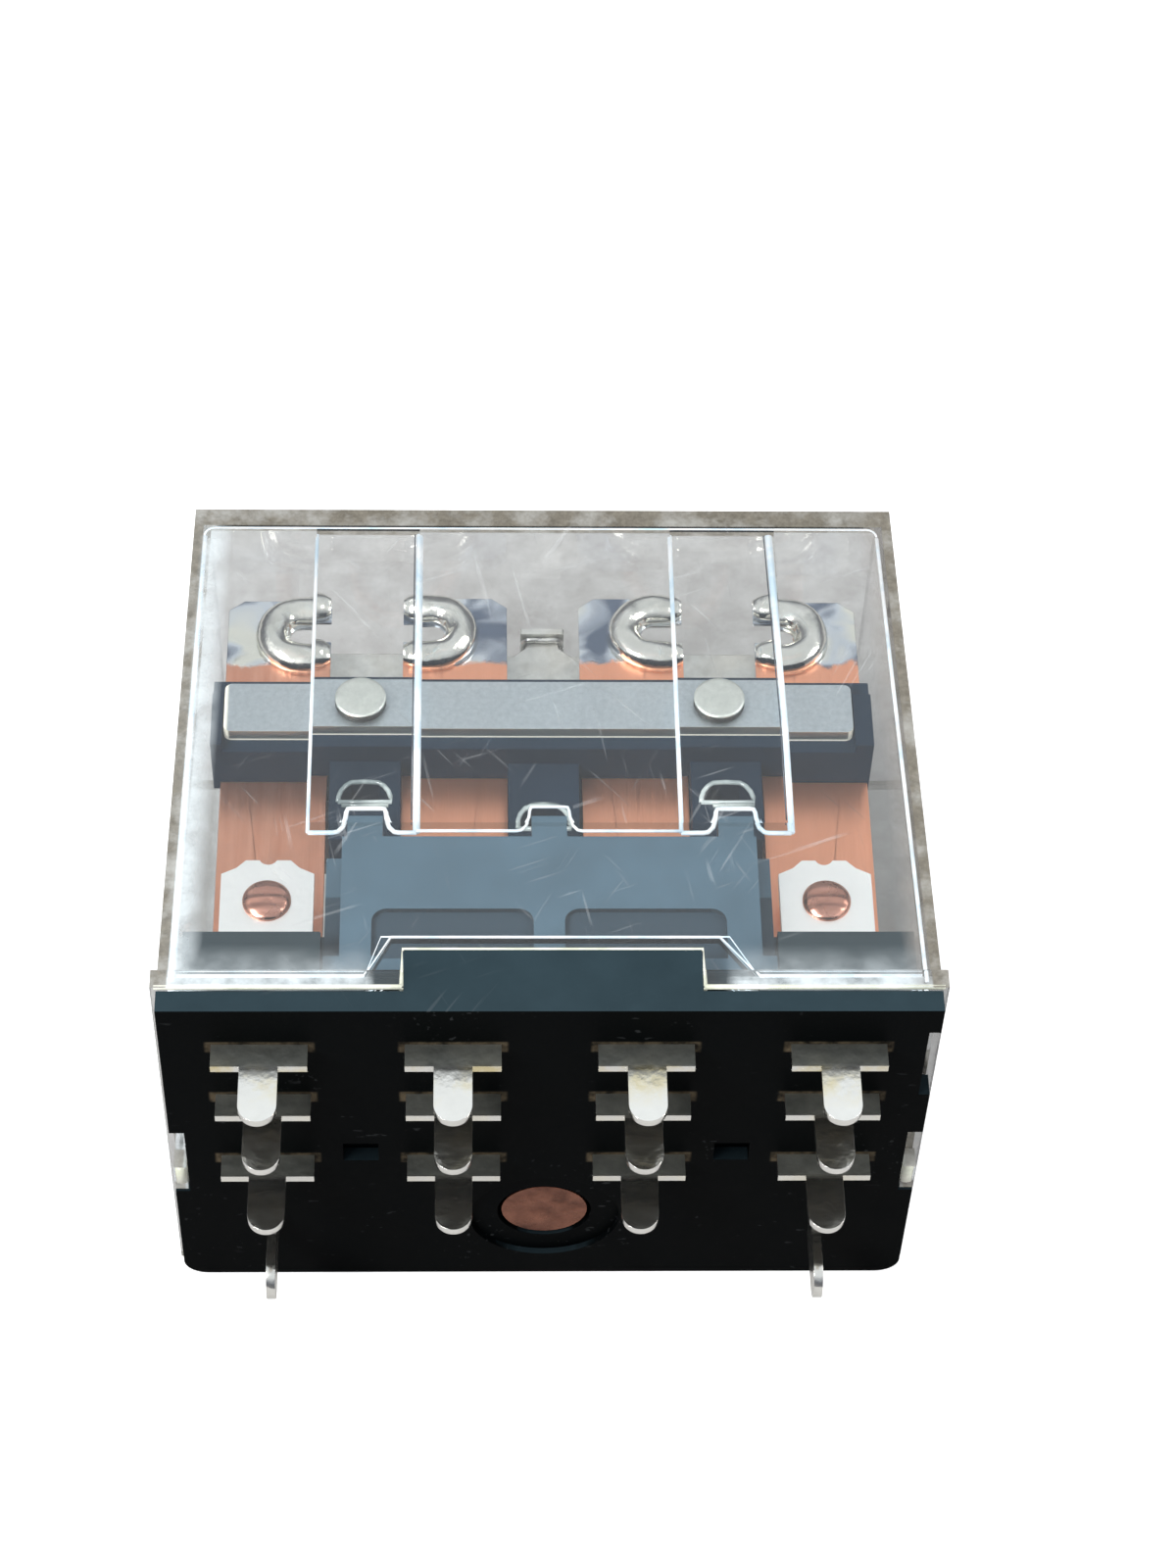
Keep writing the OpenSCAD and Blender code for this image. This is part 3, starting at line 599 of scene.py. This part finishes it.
def solder_joint(index):
    """A bumpy bead round the open slot of a contact spring, with a lump at its closed end."""
    side = 1 if index % 2 == 0 else -1
    cx, cy, cz = POLES[index] + side * 1.3, 29.6, 6.7
    seed = Vector((index * 3.7, 1.3, 0.4))
    centre = [(1.62, -1.7), (1.2, -1.7), (0.6, -1.72)]
    centre += [(-1.7 * math.sin(a), -1.7 * math.cos(a)) for a in [math.pi * k / 14 for k in range(15)]]
    centre += [(0.6, 1.72), (1.2, 1.7), (1.62, 1.7)]
    verts, faces = [], []
    sides, n = 12, len(centre)
    for i, (px, py) in enumerate(centre):
        ax, ay = centre[max(i - 1, 0)]
        bx, by = centre[min(i + 1, n - 1)]
        length = math.hypot(bx - ax, by - ay)
        nx, ny = (by - ay) / length, -(bx - ax) / length
        taper = 0.62 if i in (0, n - 1) else (0.9 if i in (1, n - 2) else 1.0)
        swell = 1 + 0.14 * math.sin(math.pi * i / (n - 1)) ** 2
        for k in range(sides + 1):
            a = math.pi * k / sides
            wobble = 1 + 0.16 * noise.noise(Vector((px * 0.9, py * 0.9, k * 0.35)) + seed)
            out = 0.95 * taper * math.cos(a) * (1 + 0.05 * noise.noise(Vector((px, py, 9)) + seed))
            high = 0.95 * taper * swell * wobble * math.sin(a) ** 0.8
            verts.append((cx + side * (px + nx * out), cy + py + ny * out, cz + 0.01 + min(high, 1.15)))
    for i in range(n - 1):
        for k in range(sides):
            a = i * (sides + 1) + k
            faces.append((a, a + 1, a + sides + 2, a + sides + 1))
        a, b = i * (sides + 1), i * (sides + 1) + sides
        faces.append((a, a + sides + 1, b + sides + 1, b))
    faces.append(tuple(range(sides + 1)))
    faces.append(tuple((n - 1) * (sides + 1) + k for k in range(sides + 1))[::-1])
    node = f"solder_joint_{index + 1}"
    finish_mesh(node + "_bead", verts, faces, SOLDER, "armature_assembly", [node])


def flexible_lead(index):
    """A stranded lead from the back of a contact spring to its common terminal."""
    x, tag = POLES[index], (-15, -11.2, 11.2, 15)[index]
    top, low = 6.15, -1.65
    p = [Vector(v) for v in ((x, 30.9, top), (x, 31.6, 1), (tag, 33, low - 0.2), (tag, 24, low))]
    path = []
    for k in range(41):
        t = k / 40
        s = 1 - t
        path.append(s ** 3 * p[0] + 3 * s ** 2 * t * p[1] + 3 * s * t * t * p[2] + t ** 3 * p[3])
    path += [Vector((tag, 24 - s * 1.3, low)) for s in range(1, 16)]
    verts, faces = sweep(path, strand_section(0.5))
    node = f"flex_lead_{index + 1}"
    o = finish_mesh(node + "_strands", verts, faces, BRAID, None, [node])
    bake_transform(o)


def rivet_heads():
    """Rolled rivet heads: a slightly domed top over a rounded rim."""
    parts = []
    for x in (-10.15, 9.55):
        profile = [(0.8, 3.15), (0.8, 10.3), (1.32, 10.3), (1.4, 10.36), (1.4, 10.52), (1.34, 10.56),
                   (1.34, 10.62), (1.4, 10.66), (1.4, 10.86), (1.36, 10.91), (1.25, 10.93), (0.9, 10.94),
                   (0.45, 10.95), (0.05, 10.95)]
        parts.append(revolve(profile, about_z(x, 21.7)))
    verts, faces = join(parts)
    finish_mesh("card_rivet_heads", verts, faces, RIVET, "armature_assembly", ["card_rivets"])


def contact_rivets():
    """Front contacts: an upset tail with three rolled ridges, and a silver face behind."""
    verts, faces = [], []
    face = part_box("nc_contacts")[0][2] / MM
    for x in POLES:
        base = len(verts)
        sides, rings = 40, [0.05, 0.25, 0.45, 0.65, 0.85, 1.02, 1.14, 1.22, 1.27, 1.3]
        for r in rings:
            for k in range(sides):
                a = math.tau * k / sides
                px, py = r * math.cos(a), r * math.sin(a)
                ridge = 0.055 * math.cos(math.tau * (py + 0.12 * px * px) / 0.62)
                verts.append((x + px, CONTACT_Y + py, 9.04 - 0.28 * (r / 1.3) ** 6 + ridge * (1 - (r / 1.3) ** 4)))
        low = len(verts)
        for r, z in ((1.3, 8.1), (1.3, face + 0.2), (1.2, face + 0.07), (0.9, face + 0.02), (0.05, face)):
            for k in range(sides):
                a = math.tau * k / sides
                verts.append((x + r * math.cos(a), CONTACT_Y + r * math.sin(a), z))
        for i in range(len(rings) + 4):
            for k in range(sides):
                a, b = base + i * sides + k, base + i * sides + (k + 1) % sides
                faces.append((a, a + sides, b + sides, b))
        faces.append(tuple(base + k for k in range(sides)))
        faces.append(tuple(low + 4 * sides + k for k in range(sides))[::-1])
    o = finish_mesh("nc_contact_rivets", verts, faces, TAIL, "frame", ["nc_contacts"])
    o.data.materials.append(SILVER)
    for poly in o.data.polygons:
        if poly.center[2] < 8.1 * MM:
            poly.material_index = 1


def domed_contacts(name, node, body, profile):
    """Slightly domed silver contacts, one in each pole. profile(low, high) gives (radius, height) pairs."""
    low, high = (corner[2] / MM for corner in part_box(node))
    verts, faces = join([revolve(profile(low, high), about_z(x, CONTACT_Y)) for x in POLES])
    finish_mesh(name, verts, faces, SILVER, body, [node])


def rear_contact(low, high):
    return [(0.05, low), (1.0, low), (1.22, low + 0.06), (1.3, low + 0.18), (1.3, high - 0.2),
            (1.22, high - 0.13), (1.0, high - 0.08), (0.6, high - 0.03), (0.05, high)]


def moving_contact(low, high):
    middle = (low + high) / 2
    return [(0.05, low), (0.6, low + 0.03), (1.0, low + 0.08), (1.22, low + 0.13), (1.3, low + 0.2),
            (1.3, middle - 0.1), (0.65, middle - 0.1), (0.65, middle + 0.1), (1.3, middle + 0.1),
            (1.3, high - 0.2), (1.22, high - 0.13), (1.0, high - 0.08), (0.6, high - 0.03), (0.05, high)]


def magnet_spring():
    """Return spring with a loop over the armature's neck and a hook through the yoke's lug."""
    turns, low, high, radius = 11, -9.3, 1.6, 0.93
    coil = []
    for k in range(221):
        a = math.tau * turns * k / 220
        coil.append((radius * math.sin(a), 30.2 + radius * math.cos(a), low + (high - low) * k / 220))
    tail = smooth_path([(0, 31.13, low), (0, 30.9, -9.75), (0, 30.4, -10.1), (0, 29.95, -10.6),
                        (0, 29.9, -10.7)])
    loop = smooth_path([coil[-1], (0.2, 31.1, 2.1), (0.9, 31.05, 2.9), (1.12, 30.95, 3.7), (0.9, 30.92, 4.5),
                        (0, 30.92, 4.52), (-0.9, 30.92, 4.5), (-1.12, 30.95, 3.7), (-0.95, 31.0, 2.9)])
    verts, faces = sweep(list(reversed(tail)) + coil[1:] + loop[1:], round_section(0.16, 8))
    o = finish_mesh("return_spring_wire", verts, faces, SPRING, None, ["return_spring"])
    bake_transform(o)


def coil_turns():
    """The winding's outer layer, turn by turn."""
    profile = [(3.5, 5.45)]
    turns = 48
    step = (24.8 - 5.45) / turns
    for i in range(turns):
        y = 5.45 + i * step
        profile += [(4.36, y + 0.02), (4.48, y + step * 0.3), (4.48, y + step * 0.7)]
    profile += [(4.36, 24.8), (3.5, 24.8)]
    verts, faces = revolve(profile, about_y(0, -7.2), 48)
    finish_mesh("coil_turns", verts, faces, WIRE, "frame", ["coil_winding"])


def coil_wires():
    """Wire ends: out of the bobbin's flange and wrapped round the posts of the coil terminals."""
    parts = []
    for s in (-1, 1):
        wrap = []
        for k in range(81):
            a = math.tau * 4 * k / 80
            c, d = math.cos(a), math.sin(a)
            wrap.append((s * 15.0 - s * 0.42 * (abs(c) ** 0.5) * (1 if c >= 0 else -1), 5.1 + 0.9 * k / 80,
                         -7.8 + 0.68 * (abs(d) ** 0.5) * (1 if d >= 0 else -1)))
        lead = smooth_path([(s * 8.9, 4.9, -7.8), (s * 10.5, 4.95, -7.9), (s * 12.6, 5.05, -7.75), wrap[0]])
        parts.append(sweep(lead[:-1] + [Vector(w) for w in wrap], round_section(0.13, 6)))
    verts, faces = join(parts)
    finish_mesh("coil_wire_ends", verts, faces, WIRE, "frame", ["coil_leads"])


def cover_edges():
    """Painted highlights on the moulded corners of the cover, as fine glowing beads in its inner corners and along
    its rim, with thin dark beads of painted shade beside two bands.
    """
    parts, rim, dark = [], [], []

    def bead(points, radius, into=parts):
        into.append(sweep([Vector(p) for p in points], round_section(radius, 8)))

    # Sides and far end, joined by rounded corners.
    bead([(-19.46, 2.0, 12.6), (-19.36, 12, 12.45), (-19.26, 22, 12.3), (-19.16, 32.6, 12.12)], 0.21)
    bead([(19.45, 2.0, 12.6), (19.25, 12, 12.45), (19.05, 22, 12.3), (18.85, 32.6, 12.12)], 0.11)
    turn = [(0.55 * math.sin(a), 0.55 * math.cos(a)) for a in (math.pi / 2, 1.2, 0.8, 0.4, 0)]
    end = [(18.3 + dx, 32.7 + dy, 12.1) for dx, dy in turn]
    bead(end + [(-18.55 - dx, 32.7 + dy, 12.1) for dx, dy in reversed(turn)], 0.065)
    # Sides of the two bands.
    bands = ((-12.8, -12.8, 0.11), (-7.0, -7.0, 0.2), (7.15, 7.15, 0.12), (13.05, 12.75, 0.2))
    for low_x, top_x, radius in bands:
        bead([(low_x, 12.5, 11.34), (low_x, 20, 11.34), (top_x, 33.1, 11.34)], radius)
        if radius == 0.2:
            # A thin dark bead of painted shade beside each wider band edge.
            beside = low_x - 0.27
            bead([(beside, 13, 11.36), (beside, 20, 11.36), (top_x - 0.27, 33.1, 11.36)], 0.035, dark)
    # Lower outline of the thick pad, stepping round the three notches.
    step = [(0.75, 1.48), (0.98, 1.45), (1.06, 1.2), (1.1, 0.8), (1.25, 0.35), (1.5, 0.06), (1.75, 0)]
    for x0, x1, y, z, gap in ((-12.8, -7.0, 12.5, 11.3, -9.7), (-7.0, 7.15, 12.3, 11.75, 0.1),
                              (7.15, 13.05, 12.5, 11.3, 10.1)):
        path = [(x0, y, z)] + [(gap - dx, y + dy, z) for dx, dy in reversed(step)]
        path += [(gap + dx, y + dy, z) for dx, dy in step] + [(x1, y, z)]
        bead(path, 0.13 if z < 11.5 else 0.085)
    # Sloping step over the tab of the base.
    for drop, r in ((0.0, 0.07), (0.5, 0.05)):
        bead([(-19.2, 2.3 - drop * 0.2, 12.95), (-9.6, 2.3 - drop * 0.2, 12.95), (-8.25 - drop, 4.8, 12.95),
              (8.85 + drop, 4.8, 12.95), (10.8, 2.3 - drop * 0.2, 12.95), (19.2, 2.3 - drop * 0.2, 12.95)], r)
    # Rim, the edge of the notch that the tab fills, and the latches.
    bead([(-20.3, 1.38, 13.58), (-7.66, 1.38, 13.58), (-7.64, 1.6, 13.3), (-7.64, 3.88, 13.25),
          (7.94, 3.88, 13.25), (7.94, 1.6, 13.3), (7.96, 1.38, 13.58), (20.3, 1.38, 13.58)], 0.13, rim)
    for s in (-1, 1):
        bead([(s * 19.85, 0.75, -2.35), (s * 19.85, 0.75, -4.05)], 0.3, rim)
    for name, mesh, mat in (("cover_corner_highlight_beads", parts, EDGE), ("cover_rim_highlight_beads", rim, RIM),
                            ("cover_band_shadows", dark, SHADE)):
        verts, faces = join(mesh)
        finish_mesh(name, verts, faces, mat, "frame")


def skirt_arches():
    """Moulded rims of the arched openings in the card's skirts, glowing faintly as a painted highlight."""
    parts = []
    for x, y in ((-9.9, 16.5), (-0.1, 15.1), (9.95, 16.5)):
        outline = [(-1.45, 0), (-1.42, 0.35), (-1.3, 0.75), (-1.05, 1.12), (-0.75, 1.35), (0, 1.4),
                   (0.75, 1.35), (1.05, 1.12), (1.3, 0.75), (1.42, 0.35), (1.45, 0), (0, -0.02), (-1.45, 0)]
        parts.append(sweep([(x + dx, y + dy, 8.1) for dx, dy in outline], round_section(0.14, 8)))
    verts, faces = join(parts)
    finish_mesh("card_arch_rims", verts, faces, ARCH, "armature_assembly")


for i in range(4):
    solder_joint(i)
    flexible_lead(i)
rivet_heads()
contact_rivets()
domed_contacts("no_contact_rivets", "no_contacts", "frame", rear_contact)
domed_contacts("moving_contact_rivets", "moving_contacts", "armature_assembly", moving_contact)
magnet_spring()
coil_turns()
coil_wires()
cover_edges()
skirt_arches()

# ---- Stage, light and camera ------------------------------------------------

lowest = cad_box[0][2]


def stage_floor():
    """A pale floor, tipped to meet the cover's rim and its far edge."""
    half = 1.2
    mesh = bpy.data.meshes.new("floor")
    corners = [(-half, -half, 0), (half, -half, 0), (half, half, 0), (-half, half, 0)]
    mesh.from_pydata(corners, [], [(0, 1, 2, 3)])
    o = bpy.data.objects.new("floor", mesh)
    bpy.context.scene.collection.objects.link(o)
    tip = math.atan2(0.00085, 0.033)
    o.rotation_euler = (tip, 0, 0)
    o.location = (0, 0, lowest - 0.00125 * math.tan(tip) - 0.00002)
    t = Tree("floor")
    cloud = t.noise(420, detail=8, rough=0.75)
    speckle = t.ramp(cloud, [(0.33, (0.39, 0.375, 0.365)), (0.66, (0.56, 0.555, 0.545))])
    grey = t.node("BsdfDiffuse", Color=speckle)
    white = t.node("Emission", Color=(1, 1, 1, 1), Strength=0.75)
    pale = t.node("BsdfDiffuse", Color=(0.6, 0.6, 0.6, 1))
    bright = t.nt.nodes.new("ShaderNodeAddShader")
    t.nt.links.new(white.outputs[0], bright.inputs[0])
    t.nt.links.new(pale.outputs[0], bright.inputs[1])
    mesh.materials.append(t.surface(t.blend(t.node("LightPath").outputs["Is Camera Ray"], grey, bright)))


def area(name, location, target, size, power, colour=(1, 1, 1)):
    light = bpy.data.lights.new(name, "AREA")
    light.shape = "RECTANGLE"
    light.size, light.size_y = size
    light.energy = power
    light.color = colour
    o = bpy.data.objects.new(name, light)
    bpy.context.scene.collection.objects.link(o)
    o.location = location
    o.rotation_euler = (Vector(target) - Vector(location)).to_track_quat("-Z", "Y").to_euler()


def world():
    """A soft studio: bright and faintly blue overhead, dark near the horizon."""
    w = bpy.data.worlds.new("studio")
    w.use_nodes = True
    nt = w.node_tree
    tex = nt.nodes.new("ShaderNodeTexCoord")
    split = nt.nodes.new("ShaderNodeSeparateXYZ")
    ramp = nt.nodes.new("ShaderNodeValToRGB")
    nt.links.new(tex.outputs["Generated"], split.inputs[0])
    nt.links.new(split.outputs[2], ramp.inputs[0])
    stops = [(0.0, (0.2, 0.2, 0.21)), (0.3, (0.16, 0.17, 0.2)), (0.5, (0.5, 0.53, 0.57)),
             (0.72, (0.92, 0.965, 1.0))]
    e = ramp.color_ramp.elements
    while len(e) < len(stops):
        e.new(0.5)
    for element, (pos, colour) in zip(e, stops):
        element.position = pos
        element.color = (*colour, 1)
    background = nt.nodes["Background"]
    nt.links.new(ramp.outputs[0], background.inputs[0])
    background.inputs[1].default_value = 0.8
    bpy.context.scene.world = w


def camera():
    """The photograph's viewing angle: from above the blades, looking down onto the contact side."""
    yaw, tilt, roll = -0.0529, 0.9266, 0.0436
    right = Vector((math.cos(yaw), math.sin(yaw), 0))
    ahead = Vector((-math.sin(yaw), math.cos(yaw), 0))
    forward = ahead * math.cos(tilt) - Vector((0, 0, math.sin(tilt)))
    up = ahead * math.sin(tilt) + Vector((0, 0, math.cos(tilt)))
    x_axis = right * math.cos(roll) + up * math.sin(roll)
    y_axis = up * math.cos(roll) - right * math.sin(roll)
    data = bpy.data.cameras.new("camera")
    data.sensor_width = 36
    data.lens = 85.74
    o = bpy.data.objects.new("camera", data)
    bpy.context.scene.collection.objects.link(o)
    place = Matrix((x_axis, y_axis, -forward)).transposed().to_4x4()
    place.translation = Vector((-4.182, -105.079, 172.846)) * MM
    o.matrix_world = place
    bpy.context.scene.camera = o


stage_floor()
world()
area("key", (-0.3, -0.2, 0.4), (0, 0.015, 0), (0.2, 0.2), 3.0)
area("fill", (0.35, 0.0, 0.3), (0, 0.01, 0), (0.2, 0.2), 0.8)
camera()
bpy.context.scene.view_settings.view_transform = "Standard"
